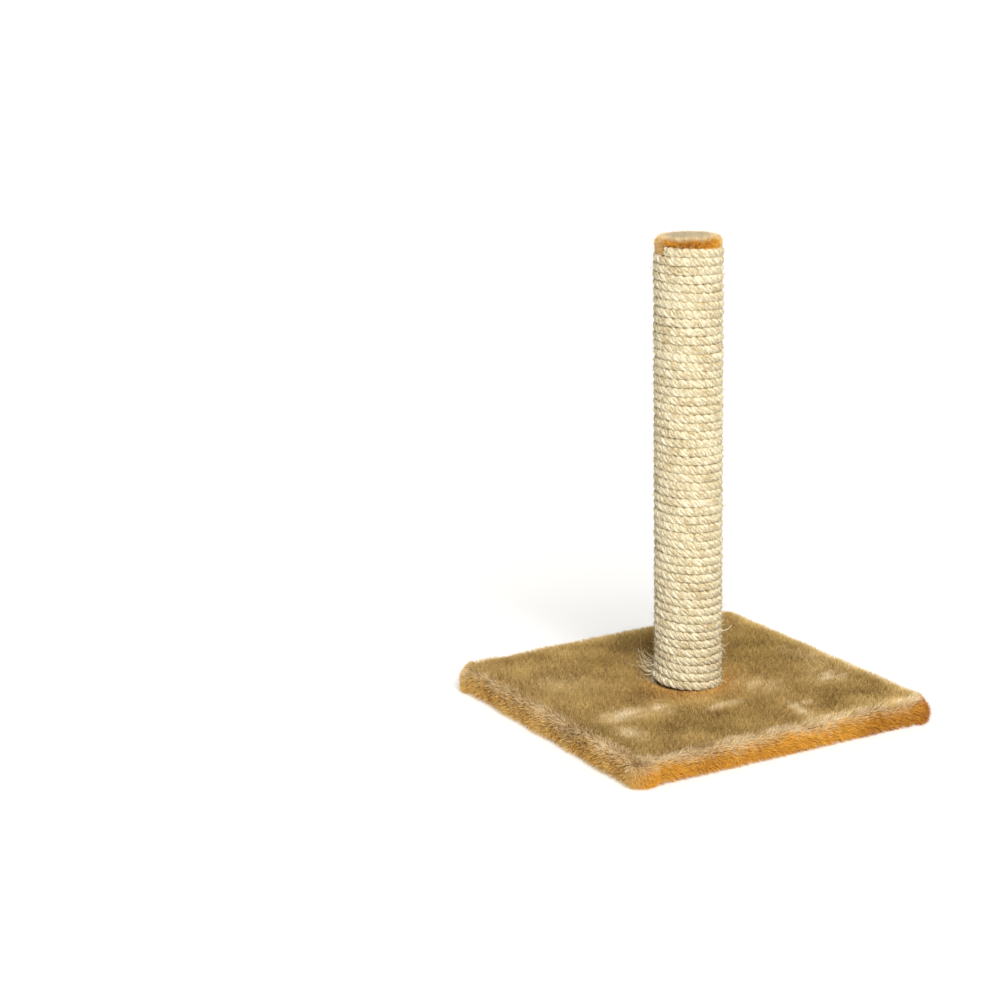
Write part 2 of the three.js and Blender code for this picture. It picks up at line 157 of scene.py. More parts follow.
def cloudy(tree, where, scale, detail=3.0, roughness=0.5):
    """Noise at a place, with so many clouds to the metre."""
    noise = tree.nodes.new("ShaderNodeTexNoise")
    noise.inputs["Scale"].default_value = scale
    noise.inputs["Detail"].default_value = detail
    noise.inputs["Roughness"].default_value = roughness
    tree.links.new(where, noise.inputs["Vector"])
    return noise.outputs["Fac"]


def tinted(tree, share, *stops):
    """A colour from a share of 0 to 1 through stops, each a place and a colour."""
    ramp = tree.nodes.new("ShaderNodeValToRGB")
    while len(ramp.color_ramp.elements) < len(stops):
        ramp.color_ramp.elements.new(0.5)
    for element, (place, colour) in zip(ramp.color_ramp.elements, stops):
        element.position = place
        element.color = (*colour, 1)
    tree.links.new(share, ramp.inputs["Fac"])
    return ramp.outputs["Color"]


def emboss(tree, shader, height, depth):
    """Bumps of the given depth in metres where height goes from 0 to 1."""
    bump = tree.nodes.new("ShaderNodeBump")
    bump.inputs["Distance"].default_value = depth
    bump.inputs["Strength"].default_value = 1
    tree.links.new(height, bump.inputs["Height"])
    tree.links.new(bump.outputs["Normal"], shader.inputs["Normal"])


def chipboard_finish():
    """Pressed chips: cells of mixed browns, each flake long and thin, with a rough face."""
    finish, tree, shader = new_finish("chipboard", roughness=0.85)
    chips = tree.nodes.new("ShaderNodeTexVoronoi")
    chips.inputs["Scale"].default_value = CHIPS
    tree.links.new(coordinates(tree, stretch=CHIP_STRETCH, tilt=CHIP_TURN), chips.inputs["Vector"])
    split = tree.nodes.new("ShaderNodeSeparateColor")
    tree.links.new(chips.outputs["Color"], split.inputs["Color"])
    colour = tinted(tree, split.outputs["Red"], (0.05, CHIP_DARK), (0.3, CHIP_LIGHT), (0.95, CHIP_LIGHT))
    tree.links.new(colour, shader.inputs["Base Color"])
    emboss(tree, shader, cloudy(tree, coordinates(tree), CHIP_GRAIN), CHIP_RELIEF)
    return finish


def refinish(finish, *pieces):
    """Gives the finish to pieces that keep their solids."""
    for piece in pieces:
        cad[piece].data.materials.clear()
        cad[piece].data.materials.append(finish)


refinish(chipboard_finish(), "base_board")


# ---- Bolt, washer, tee nut, nails and staples ---------------------------------------------------
# Bright zinc-plated steel. The bolt and its washer lie in the board's counterbore, and the
# staples' crowns are pressed into the hem. The nut and the nails are inside the post.

ZINC_BRIGHT = (0.80, 0.81, 0.83)
ZINC_DULL = (0.52, 0.53, 0.55)
ZINC_CLOUDS = 420  # to the metre
ZINC_SCUFFS = 2500
SCUFF_DEPTH = 0.00004


def zinc_finish():
    """Zinc plate: grey clouds a few millimetres across, with fine scuffs."""
    finish, tree, shader = new_finish("zinc_plate", roughness=0.32, metallic=1.0)
    clouds = cloudy(tree, coordinates(tree), ZINC_CLOUDS, detail=5)
    tree.links.new(tinted(tree, clouds, (0.35, ZINC_DULL), (0.65, ZINC_BRIGHT)), shader.inputs["Base Color"])
    scuffs = cloudy(tree, coordinates(tree, stretch=(1, 6, 6)), ZINC_SCUFFS)
    emboss(tree, shader, scuffs, SCUFF_DEPTH)
    return finish


small_steel = [n for n in cad if "staple" in n or "nail" in n]
refinish(zinc_finish(), "post_bolt", "bolt_washer", "tee_nut", *small_steel)


# ---- Tube and plugs -----------------------------------------------------------------------------
# The post's core is a tube of brown cardboard wound in a spiral, closed at both ends by turned
# pine plugs. The rope and the cap cover all of it.

KRAFT_LIGHT = (0.46, 0.31, 0.17)
KRAFT_DARK = (0.33, 0.21, 0.11)
PINE_LIGHT = (0.72, 0.52, 0.29)
PINE_DARK = (0.52, 0.33, 0.15)
KRAFT_FIBRES = 120  # to the metre
PINE_RINGS = 90
GRAIN_RELIEF = 0.0002


def striped_finish(name, light, dark, stretch, scale):
    """Fibres or growth rings: noise drawn out along one axis, in two tones."""
    finish, tree, shader = new_finish(name, roughness=0.85)
    lines = cloudy(tree, coordinates(tree, stretch=stretch), scale, detail=4)
    tree.links.new(tinted(tree, lines, (0.35, dark), (0.65, light)), shader.inputs["Base Color"])
    emboss(tree, shader, lines, GRAIN_RELIEF)
    return finish


kraft_finish = striped_finish("kraft_board", KRAFT_LIGHT, KRAFT_DARK, (1, 1, 5), KRAFT_FIBRES)
pine_finish = striped_finish("pine", PINE_LIGHT, PINE_DARK, (6, 1, 1), PINE_RINGS)
refinish(kraft_finish, "post_tube")
refinish(pine_finish, "bottom_plug", "top_plug")


# ---- Plush cover's backing ----------------------------------------------------------------------
# One piece of knitted backing cloth, pulled tight over the board, round its edges and corners and
# 26 mm under it. The post presses on its middle, where a hole lets the bolt through.

CLOTH = 0.0012  # thickness
SLACK = 0.0003  # between the cloth and the board
BOARD_CORNER = 0.008
SHARPEST_CORNER = 0.002  # of the hem, inside the board's corners
FOLD_RADIUS = 0.0026  # of the cloth round the board's edges
HEM_CUT = 0.1177  # from the axis to the hem's cut edge
BOLT_HOLE = 0.005  # radius
PRESSED_DOWN = 0.0008  # by the post's foot
FOOT_STEP = 0.002  # how wide the cloth rises again, inside the foot's edge
BEFORE_FOLD = 0.002  # from the last level ring to the fold
INNER_RING = 0.08  # from the axis, on the cloth's inner face
SQUARE_BEYOND = 0.05  # from the post to where the rings are square
CIRCLE_MIX = 0.1  # the share of C in the way that a circle's points lie, in square_rings
SIDE_POINTS = 55  # round the outline, on each side and on each quarter at a corner
# The backing's brown: the cloth's own colour, kept darker than the pile as painted shade deep in it.
BACKING_BROWN = (0.46, 0.26, 0.09)
BACKING_DARKER = 0.7
BACKING_PATCHES = 60  # to the metre
BACKING_STITCHES = 1400
STITCH_RELIEF = 0.0004

board_low, board_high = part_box("base_board")
post_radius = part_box("sisal_rope_middle")[1].x
cloth_top = board_high.z + SLACK + CLOTH
cloth_side = board_high.x + SLACK + CLOTH
cloth_under = board_low.z - SLACK - CLOTH


def place_mesh(name, points, faces, finish):
    """A smooth mesh whose faces all have as many corners, as an object at the origin."""
    mesh = bpy.data.meshes.new(name)
    mesh.vertices.add(len(points))
    mesh.vertices.foreach_set("co", np.ascontiguousarray(points, np.float32).ravel())
    mesh.loops.add(faces.size)
    mesh.loops.foreach_set("vertex_index", faces.astype(np.int32).ravel())
    mesh.polygons.add(len(faces))
    mesh.polygons.foreach_set("loop_start", np.arange(0, faces.size, faces.shape[1], dtype=np.int32))
    mesh.update(calc_edges=True)
    mesh.shade_smooth()
    mesh.materials.append(finish)
    piece = bpy.data.objects.new(name, mesh)
    bpy.context.scene.collection.objects.link(piece)
    return piece


def grid_faces(rows, columns, rows_close=False):
    """Quads of a grid of points whose columns close on themselves, and its rows if asked to.
    They face outwards where the rows lead away from the middle and the columns run
    anticlockwise."""
    row = np.arange(rows if rows_close else rows - 1)[:, None]
    column = np.arange(columns)[None, :]
    row_on = (row + 1) % rows
    column_on = (column + 1) % columns
    corners = [row * columns + column, row_on * columns + column,
               row_on * columns + column_on, row * columns + column_on]
    return np.stack(corners, -1).reshape(-1, 4)


def unit(vectors):
    """Each vector at a length of one."""
    return vectors / np.linalg.norm(vectors, axis=-1, keepdims=True)


def square_rings(half, corner, height, roundness):
    """One ring of points for each entry: a square of that half side with round corners of that
    radius, drawn towards a circle by its roundness. The outline is (half - corner) S + corner C,
    where S goes round a unit square and C is the way that each point faces. The circle's points
    lie the way that a mix of S and C points."""
    along = (np.arange(SIDE_POINTS) + 0.5) / SIDE_POINTS * 2 - 1
    sweep = (np.arange(SIDE_POINTS) + 0.5) / SIDE_POINTS * pi / 2
    side = np.stack([np.ones(SIDE_POINTS), along], 1)
    faces_out = np.tile([1.0, 0.0], (SIDE_POINTS, 1))
    bend = np.stack([np.cos(sweep), np.sin(sweep)], 1)
    quarters = [np.array([[cos(a), sin(a)], [-sin(a), cos(a)]]) for a in np.arange(4) * pi / 2]
    on_square = np.concatenate([p @ q for q in quarters for p in (side, np.ones((SIDE_POINTS, 2)))])
    on_circle = np.concatenate([p @ q for q in quarters for p in (faces_out, bend)])
    spoke = unit(on_square * (1 - CIRCLE_MIX) + on_circle * CIRCLE_MIX)
    half, corner, height, roundness = (
        np.asarray(v, float)[:, None, None] for v in (half, corner, height, roundness))
    ring = ((half - corner) * on_square + corner * on_circle) * (1 - roundness)
    ring = ring + half * spoke * roundness
    return np.concatenate([ring, np.broadcast_to(height, (*ring.shape[:2], 1))], 2)


def arc(out, up, radius, first, last, steps=5):
    """Distances out and heights along an arc round (out, up), from one angle to another."""
    angle = np.radians(np.linspace(first, last, steps))
    return np.stack([out + radius * np.cos(angle), up + radius * np.sin(angle)], 1)


def level_run(first, last, height, steps):
    """Distances out from first to last, all at one height."""
    return np.stack([np.linspace(first, last, steps), np.full(steps, height)], 1)


def backing_finish():
    """Knitted cloth seen between the fibres: dull brown, its own colour darkened as painted shade deep in
    the pile, with a fine net of stitches.
    """
    finish, tree, shader = new_finish("plush_backing", roughness=0.95, sheen=0.2)
    patches = cloudy(tree, coordinates(tree), BACKING_PATCHES)
    darker = tuple(BACKING_DARKER * c for c in BACKING_BROWN)
    colour = tinted(tree, patches, (0.3, darker), (0.7, BACKING_BROWN))
    tree.links.new(colour, shader.inputs["Base Color"])
    emboss(tree, shader, cloudy(tree, coordinates(tree), BACKING_STITCHES), STITCH_RELIEF)
    return finish


fold = cloth_side - FOLD_RADIUS
profile = {
    "pressed": level_run(BOLT_HOLE, post_radius - 2 * FOOT_STEP, cloth_top - PRESSED_DOWN, 4),
    "top": level_run(post_radius - FOOT_STEP, fold - BEFORE_FOLD, cloth_top, 16),
    "edge": arc(fold, cloth_top - FOLD_RADIUS, FOLD_RADIUS, 90, 0),
    "lower_edge": arc(fold, cloth_under + FOLD_RADIUS, FOLD_RADIUS, 0, -90),
    "hem": level_run(fold - 2 * BEFORE_FOLD, HEM_CUT, cloth_under, 4),
    "inside": np.array([
        (HEM_CUT, cloth_under + CLOTH), (cloth_side - CLOTH, cloth_under + CLOTH),
        (cloth_side - CLOTH, cloth_top - CLOTH), (INNER_RING, cloth_top - CLOTH),
        (BOLT_HOLE, cloth_top - CLOTH)]),
}
ring_ends = dict(zip(profile, np.cumsum([len(run) for run in profile.values()])))
half, height = np.concatenate(list(profile.values())).T
corner = np.clip(BOARD_CORNER + half - board_high.x, SHARPEST_CORNER, None)
roundness = 1 - np.clip((half - post_radius) / SQUARE_BEYOND, 0, 1)
cover_rings = square_rings(half, corner, height, roundness)
plush_cover = place_mesh(
    "plush_cover", cover_rings.reshape(-1, 3), grid_faces(*cover_rings.shape[:2], rows_close=True),
    backing_finish())
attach(plush_cover, "root")
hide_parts("base_plush_cover")


# ---- Plush cover's pile -------------------------------------------------------------------------
# Short soft fibres stand on the backing. On the top they lean to the front and look tan, with
# pale tufts where they were brushed back, their paleness painted sheen. Round the edge they stand
# up longer, with a painted highlight on their tips along the front edges, and on the front and
# the right one looks in among them, where they are orange. Their roots are darker: painted shade.

FIBRE_LENGTH = 0.0062
FIBRE_WIDTH = 0.0007
ABOVE_FLOOR = 0.0002  # the lowest that a fibre reaches
RIM_WIDTH = 0.012
RIM_GROWTH = 0.45  # how much longer the fibres stand round the edge
CORNER_PART = 8  # a corner is the last eighth of the way to it
CORNER_GROWTH = 1.1  # more length half way up the front right corner, where the pile bulges most
OTHER_CORNERS = 0.3  # of that growth at the other three
LEFT_GROWTH = 0.4  # more length on the left side, where the cloth sits a little loose
FOOT_FADE = 0.006  # how far from the post its foot combs and colours the pile
FORWARD_LEAN = 0.4  # of the top's fibres: so much to the front for each part up
BRUSHED_LEAN = 1.1  # of the brushed ones, back from there
RIM_LEAN = 0.55  # outwards on the top's edge
FOOT_LEAN = 0.3  # outwards round the post's foot
CORNER_UPRIGHT = 0.7  # how much of the edge's lean the corners lose
COMBED_LEAN = 0.35  # along the edge
COMBED_SWAY = 0.25
CORNER_COMBED = 0.9  # how much more at the corners
SIDE_DROOP = 0.35  # down, at the foot of the sides
SIDE_LIFT = 0.75  # up from there to the top of the sides
CORNER_DROOP = 0.5
TANGLE = 0.17  # the random part of a fibre's lean
BEND = 0.5  # how much more its outer half leans
KNEE_WIDTH = 0.8  # of its width at the root
SLOW_SWAY = 0.2  # how much the lean differs from place to place
LOCK_SWAY = 0.22  # and from lock to lock
SWAY_LENGTH = 0.05  # of the waves by which the pile varies
PATCH_LENGTH = 0.07
DRIFT_LENGTH = 0.03
CLUMP_LENGTH = 0.02
STREAK_LENGTH = 0.006
LOCK_LENGTH = 0.004
TUFT_LENGTH = 0.0024
HEM_LEAN = 2.5
HEM_TANGLE = 0.9
HEM_LENGTH_SPREAD = (0.5, 0.9)
HEM_TONE_SPREAD = (0.8, 1.1)
LENGTH_SPREAD = (0.78, 1.08)
FOOT_SHORTER = 0.35  # how much shorter they are at the post's foot
PALE_ROOTS = 0.8  # how much of the roots' painted shade the edge and the corners lose, which brightens the painted highlight there
PILE_CLOUDS = 90  # to the metre
TONE_SPREAD = (0.78, 1.14)
PATCH_TONE = 0.18  # how much the top's tone goes from olive to tan by each kind of wave
CLUMP_TONE = 0.15
TUFT_TONE = 0.28
SHADED_TONE = 0.6  # and to olive in the shaded spots
FOOT_TONE_POWER = 0.4  # below 1, so the foot's orange reaches further than its lean
CREST = 1.8  # how much of the painted highlight along the edge shows, above 1 all of it
CREST_CLUMPS = 0.6
CREST_INSET = 0.35  # taken off, so that it starts nearer to the edge
CREST_CORNER = 0.4
CREST_NARROWER = 0.55  # less of it towards the right
BELOW_CREST = 2.5  # how fast the flank's tone takes over below the crest
STREAK_CREST = 0.45  # and how uneven that line is
CREST_DRIFT = 0.25
NO_CREST = 4  # at the front right corner
ORANGE_TURN = 0.75  # how fast the sides turn orange with the way they face
ORANGE_CLUMPS = 0.2
DEEPER_CORNER = 1.4  # how deep the tone gets at the front right corner
DEEPER_RIGHT = 0.55  # and along the right third of the front side
STREAK_DEPTH = 0.3  # of the tone in the combed streaks on the sides
STREAK_SLANT = 0.8  # sideways for each part up
BRUSHED_STRENGTH = 0.8  # of the brushed spots, and how much it varies inside one
BRUSHED_CLUMPS = 0.5
BRUSHED_LENGTH = 0.012
TOP_FIBRES = 210000
SIDE_FIBRES = 66000
HEM_FIBRES = 16000
PAINTED_ROOT_SHADE = (0.72, 0.62, 0.46)  # of a tip's colour at the root: painted shade deep in the pile
FOLD_CROWDING = 3.5  # more fibres for the area where the cloth folds over
CORNER_CROWDING = 4.0  # and where it goes round a corner
TOP_TAN = (0.865, 0.645, 0.265)
TOP_OLIVE = (0.66, 0.47, 0.155)
# Painted sheen: the paler tips of the brushed spots.
BRUSHED_SHEEN_PALE = (1.0, 0.86, 0.60)
# Painted highlight: the tips along the edge, where they catch the light.
RIM_HIGHLIGHT_PALE = (1.0, 0.835, 0.55)
SIDE_ORANGE = (1.0, 0.59, 0.08)
SIDE_DEEP = (0.80, 0.39, 0.03)
SIDE_TAN = (0.94, 0.68, 0.25)
FOOT_ORANGE = (0.95, 0.56, 0.15)
CORNER_SHADE = (0.42, 0.62, 0.8)  # how much red, green and blue the front right corner loses
TO_FRONT = (-0.35, -0.94, 0.0)
TO_ORANGE = (0.55, -0.84, 0.0)  # the way that the orange sides face
BRUSHED_SPOTS = (  # middle x and y, half length, half width, direction in degrees, strength
    (-0.097, -0.047, 0.022, 0.011, 10, 1.0),
    (-0.062, -0.050, 0.009, 0.010, 0, 0.8),
    (-0.116, -0.087, 0.009, 0.014, 0, 0.8),
    (-0.012, -0.071, 0.019, 0.005, 8, 0.75),
    (0.045, -0.045, 0.018, 0.020, 30, 0.4),
    (0.111, -0.060, 0.013, 0.011, 20, 0.85),
    (0.110, -0.052, 0.028, 0.022, 30, 0.2),
    (0.036, -0.115, 0.005, 0.018, -12, 0.9),
    (0.053, -0.104, 0.008, 0.005, 20, 0.6),
    (0.128, 0.000, 0.012, 0.030, 0, 0.3),
    (-0.098, 0.055, 0.030, 0.030, 0, 0.2),
)
SHADED_SPOTS = (
    (0.100, 0.030, 0.045, 0.045, 30, 1.2),
    (0.060, 0.075, 0.045, 0.045, 30, 1.1),
    (-0.025, 0.070, 0.030, 0.035, 0, 0.9),
    (-0.130, -0.060, 0.008, 0.030, 0, 0.6),
    (-0.030, -0.105, 0.040, 0.016, 10, 0.5),
    (0.080, -0.105, 0.030, 0.012, 0, 0.45),
)
chance = np.random.default_rng(7)


def spread_roots(rings, count, crowding=1.0):
    """Roots and normals of fibres spread over the quads between rings, by area times crowding,
    which is one number, or one for each ring and column."""
    near, far = rings[:-1], rings[1:]
    quads = np.stack([near, far, np.roll(far, -1, 1), np.roll(near, -1, 1)], 2).reshape(-1, 4, 3)
    facing = np.cross(quads[:, 2] - quads[:, 0], quads[:, 3] - quads[:, 1])
    area = np.linalg.norm(facing, axis=1)
    share = (area.reshape(near.shape[:2]) * crowding).ravel()
    pick = chance.choice(len(quads), count, p=share / share.sum())
    u, v = chance.random((2, count, 1))
    a, b, c, d = quads[pick].transpose(1, 0, 2)
    return (a * (1 - u) + b * u) * (1 - v) + (d * (1 - u) + c * u) * v, facing[pick] / area[pick, None]


def spot_strength(points, spots):
    """How strongly the spots cover each point: exp(-0.9 e), with e = 1 on a spot's oval outline."""
    strongest = np.zeros(len(points))
    for x, y, length, width, degrees, strength in spots:
        c, s = cos(radians(degrees)), sin(radians(degrees))
        dx, dy = points[:, 0] - x, points[:, 1] - y
        outline = ((dx * c + dy * s) / length) ** 2 + ((dy * c - dx * s) / width) ** 2
        strongest = np.maximum(strongest, strength * np.exp(-0.9 * outline))
    return strongest


def waves(points, length, seed):
    """Slow random waves, about -1 to 1: a sum of six sines of about that length, sin(2 pi p.d / l)."""
    draw = np.random.default_rng(seed)
    total = np.zeros(len(points))
    for _ in range(6):
        direction = unit(draw.normal(size=3)) / (length * draw.uniform(0.6, 1.6))
        total += np.sin(2 * pi * (points @ direction + draw.uniform()))
    return total / 3


def mix(first, second, share):
    """The first colour where share is 0 and the second where it is 1, for each fibre."""
    share = np.clip(share, 0, 1)[:, None]
    return np.asarray(first) * (1 - share) + np.asarray(second) * share


def lay_tones(piece, tones):
    """Lays one tone on each point of the mesh, which fibre_finish reads."""
    tones = np.concatenate([tones, np.ones((*tones.shape[:2], 1))], 2)
    layer = piece.data.color_attributes.new("fibre", "FLOAT_COLOR", "POINT")
    layer.data.foreach_set("color", tones.astype(np.float32).ravel())


def grow_fibres(name, roots, direction, bend, length, tips, shade, finish):
    """Fibres as ribbons that end in a point. Each goes half its length along its direction d and
    the rest along d + bend. Its colour runs from a share of the tip's at the root, as far as its
    shade goes from 0 to 1, to the tip's: painted shade, darker towards the root."""
    flat = unit(np.cross(direction, chance.normal(size=direction.shape))) * FIBRE_WIDTH / 2
    length = np.broadcast_to(length, len(roots))[:, None]
    knee = roots + direction * length / 2
    end = knee + unit(direction + bend) * length / 2
    narrow = flat * KNEE_WIDTH
    points = np.stack([roots - flat, roots + flat, knee - narrow, knee + narrow, end], 1)
    points[..., 2] = np.maximum(points[..., 2], ABOVE_FLOOR)
    ribbon = np.array([[0, 1, 2], [1, 3, 2], [2, 3, 4]])
    faces = (np.arange(len(roots))[:, None, None] * 5 + ribbon).reshape(-1, 3)
    piece = place_mesh(name, points.reshape(-1, 3), faces, finish)
    # Painted shade: the root and the knee darker than the tip.
    deep = tips * (1 - (1 - np.array(PAINTED_ROOT_SHADE)) * np.reshape(shade, (-1, 1)))
    middle = (deep + tips) / 2
    lay_tones(piece, np.stack([deep, deep, middle, middle, tips], 1))
    return piece


def fibre_finish(name, roughness, sheen, sheen_tint=(1, 1, 1)):
    """Fibres that each have their own tone, laid on the mesh, over faint clouds."""
    finish, tree, shader = new_finish(name, roughness=roughness, sheen=sheen, sheen_tint=sheen_tint)
    fibre = tree.nodes.new("ShaderNodeVertexColor")
    fibre.layer_name = "fibre"
    clouds = cloudy(tree, coordinates(tree), PILE_CLOUDS)
    blend = tree.nodes.new("ShaderNodeMix")
    blend.data_type = "RGBA"
    blend.blend_type = "MULTIPLY"
    blend.inputs["Factor"].default_value = 1
    tree.links.new(fibre.outputs["Color"], blend.inputs["A"])
    tree.links.new(tinted(tree, clouds, (0.3, (0.9, 0.9, 0.9)), (0.7, (1, 1, 1))), blend.inputs["B"])
    tree.links.new(blend.outputs["Result"], shader.inputs["Base Color"])
    return finish


def places_on_cover(roots, normals):
    """The way out from each root, which is the normal's level part, or the way from the axis where the
    cloth is level. Then shares from 0 to 1: how near the root is to the edge, how upright the cloth
    is, how high the root is, and how near to a corner, to the post and to the front right corner."""
    outwards = unit(normals * (1, 1, 0) + roots * (0.02, 0.02, 0))
    rim = np.clip((np.abs(roots[:, :2]).max(1) - cloth_side) / RIM_WIDTH + 1, 0, 1)
    side = 1 - np.clip(normals[:, 2], 0, 1)
    height = np.clip((roots[:, 2] - cloth_under) / (cloth_top - cloth_under), 0, 1)
    corner = np.abs(roots[:, :2]).min(1) / cloth_side * CORNER_PART - (CORNER_PART - 1)
    corner = np.clip(corner, 0, 1)
    front_right = corner * (roots[:, 0] > 0) * (roots[:, 1] < 0)
    to_foot = np.exp(-np.clip(np.hypot(*roots.T[:2]) - post_radius, 0, None) / FOOT_FADE)
    return outwards, rim, side, height, corner, to_foot, front_right


def cover_lean(roots, brushed, outwards, rim, side, height, corner, to_foot):
    """How each fibre leans off its normal, a sum of vectors: to the front on the top and back where
    brushed, outwards on the edge and round the foot, along the edge, down low on the sides and up
    at their top, slow and quick waves, and a random part."""
    to_front = (FORWARD_LEAN - BRUSHED_LEAN * brushed) * (1 - rim) * (1 - to_foot)
    lean = np.array(TO_FRONT) * to_front[:, None]
    off_edge = RIM_LEAN * rim * (1 - side) * (1 - CORNER_UPRIGHT * corner) + FOOT_LEAN * to_foot
    lean += outwards * off_edge[:, None]
    along_edge = COMBED_LEAN + COMBED_SWAY * waves(roots, SWAY_LENGTH, 9)
    along_edge *= rim * (1 + CORNER_COMBED * corner)
    lean += np.cross(outwards, (0, 0, -1)) * along_edge[:, None]
    lean[:, 2] += side * (SIDE_LIFT * height - SIDE_DROOP - CORNER_DROOP * corner)
    lean[:, :2] += SLOW_SWAY * np.stack([waves(roots, SWAY_LENGTH, seed) for seed in (4, 5)], 1)
    lean[:, :2] += LOCK_SWAY * np.stack([waves(roots, LOCK_LENGTH, seed) for seed in (16, 17)], 1)
    return lean + chance.normal(scale=TANGLE, size=roots.shape)


def top_tips(roots, brushed, outwards, rim, corner, to_foot):
    """The colour of each tip on the top: olive to tan by waves and shaded spots, orange round the foot,
    painted sheen where brushed, and a painted highlight on the crest along the edge, which fades to
    the back and to the right."""
    tone = PATCH_TONE * waves(roots, PATCH_LENGTH, 6) + CLUMP_TONE * waves(roots, CLUMP_LENGTH, 8)
    tone += TUFT_TONE * waves(roots, TUFT_LENGTH, 18) - SHADED_TONE * spot_strength(roots, SHADED_SPOTS)
    tips = mix(TOP_OLIVE, TOP_TAN, 0.5 + tone)
    tips = mix(tips, FOOT_ORANGE, to_foot ** FOOT_TONE_POWER * (0.6 - 0.4 * outwards[:, 1]))
    # Painted sheen on the brushed spots.
    tips = mix(tips, BRUSHED_SHEEN_PALE, brushed)
    # Painted highlight along the crest, most on the edges that face the front.
    facing_front = np.clip(0.7 - 0.8 * outwards[:, 1], 0.2, 1)
    crest = rim * (CREST + CREST_CLUMPS * waves(roots, CLUMP_LENGTH, 11)) - CREST_INSET
    crest += CREST_CORNER * corner - CREST_NARROWER * np.clip(roots[:, 0] / cloth_side, 0, 1)
    return mix(tips, RIM_HIGHLIGHT_PALE, crest * facing_front)


def cover_tips(roots, brushed, outwards, rim, side, height, corner, to_foot, front_right):
    """The colour of each tip: the top's, and from below the crest the flank's. That is tan, and orange
    where it faces the front right. It is deeper low down, in slanted streaks, along the right third
    of the front side and at the front right corner."""
    tips = top_tips(roots, brushed, outwards, rim, corner, to_foot)
    orange = 0.5 + ORANGE_TURN * (outwards @ np.array(TO_ORANGE))
    orange += ORANGE_CLUMPS * waves(roots, CLUMP_LENGTH, 13)
    to_right = np.clip(roots[:, 0] / cloth_side * 1.5 - 0.5, 0, 1) * np.clip(-outwards[:, 1], 0, 1)
    deeper = np.clip(np.maximum(DEEPER_CORNER * front_right, DEEPER_RIGHT * to_right), 0, 1)
    deeper *= np.clip(2.4 * side, 0, 1)
    slanted = (np.cross(outwards, (0, 0, 1)) * roots).sum(1) - STREAK_SLANT * roots[:, 2]
    combed = waves(np.outer(slanted, (1, 1, 1)), STREAK_LENGTH, 14)
    depth = 0.8 - 1.2 * height + STREAK_DEPTH * combed + 0.6 * deeper + 0.3 * to_right
    flank = mix(mix(SIDE_TAN, SIDE_ORANGE, orange), mix(SIDE_TAN, SIDE_DEEP, orange), depth)
    from_crest = BELOW_CREST * (1 - height) + STREAK_CREST * combed
    from_crest += CREST_DRIFT * waves(roots, DRIFT_LENGTH, 10) + NO_CREST * front_right
    tips = mix(tips, flank, np.clip(side * 1.6 - 0.35, 0, 1) * np.clip(from_crest, 0, 1))
    tips *= chance.uniform(*TONE_SPREAD, (len(roots), 1))
    return tips * (1 - deeper[:, None] * CORNER_SHADE)


def cover_fibres(rings, count, crowding):
    """The fibres of the top, the edge and the sides, as grow_fibres takes them. Their length grows by
    sines of the height along the edge and at the corners, and on the left."""
    roots, normals = spread_roots(rings, count, crowding)
    outwards, rim, side, height, corner, to_foot, front_right = places_on_cover(roots, normals)
    brushed = BRUSHED_STRENGTH + BRUSHED_CLUMPS * waves(roots, BRUSHED_LENGTH, 3)
    brushed *= spot_strength(roots, BRUSHED_SPOTS)
    lean = cover_lean(roots, brushed, outwards, rim, side, height, corner, to_foot)
    tips = cover_tips(roots, brushed, outwards, rim, side, height, corner, to_foot, front_right)
    length = FIBRE_LENGTH * (1 + RIM_GROWTH * rim * np.sin(pi * (0.25 + 0.5 * height))
                             + CORNER_GROWTH * np.maximum(OTHER_CORNERS * corner, front_right)
                             * side * np.sin(pi * height)
                             + LEFT_GROWTH * side * np.clip(-outwards[:, 0], 0, 1))
    length *= chance.uniform(*LENGTH_SPREAD, len(roots)) * (1 - FOOT_SHORTER * to_foot)
    # Less painted root shade along the edge and at the corners, so the painted highlight there shows.
    shade = 1 - rim * PALE_ROOTS * np.maximum(1 - side ** 2, corner)
    return roots, unit(normals + lean), lean * BEND, length, tips, shade


def hem_fibres():
    """Those under the board, which the object's weight flattens outwards."""
    rings = cover_rings[ring_ends["lower_edge"] - 1:ring_ends["hem"]]
    roots, normals = spread_roots(rings, HEM_FIBRES)
    outwards = unit(roots * (1, 1, 0))
    lean = outwards * HEM_LEAN + chance.normal(scale=HEM_TANGLE, size=roots.shape)
    tips = mix(SIDE_DEEP, SIDE_TAN, 0.5 + 0.4 * waves(roots, DRIFT_LENGTH, 12))
    tips *= chance.uniform(*HEM_TONE_SPREAD, (len(roots), 1))
    length = FIBRE_LENGTH * chance.uniform(*HEM_LENGTH_SPREAD, len(roots))
    return roots, unit(normals + lean), outwards * BEND, length, tips, 1


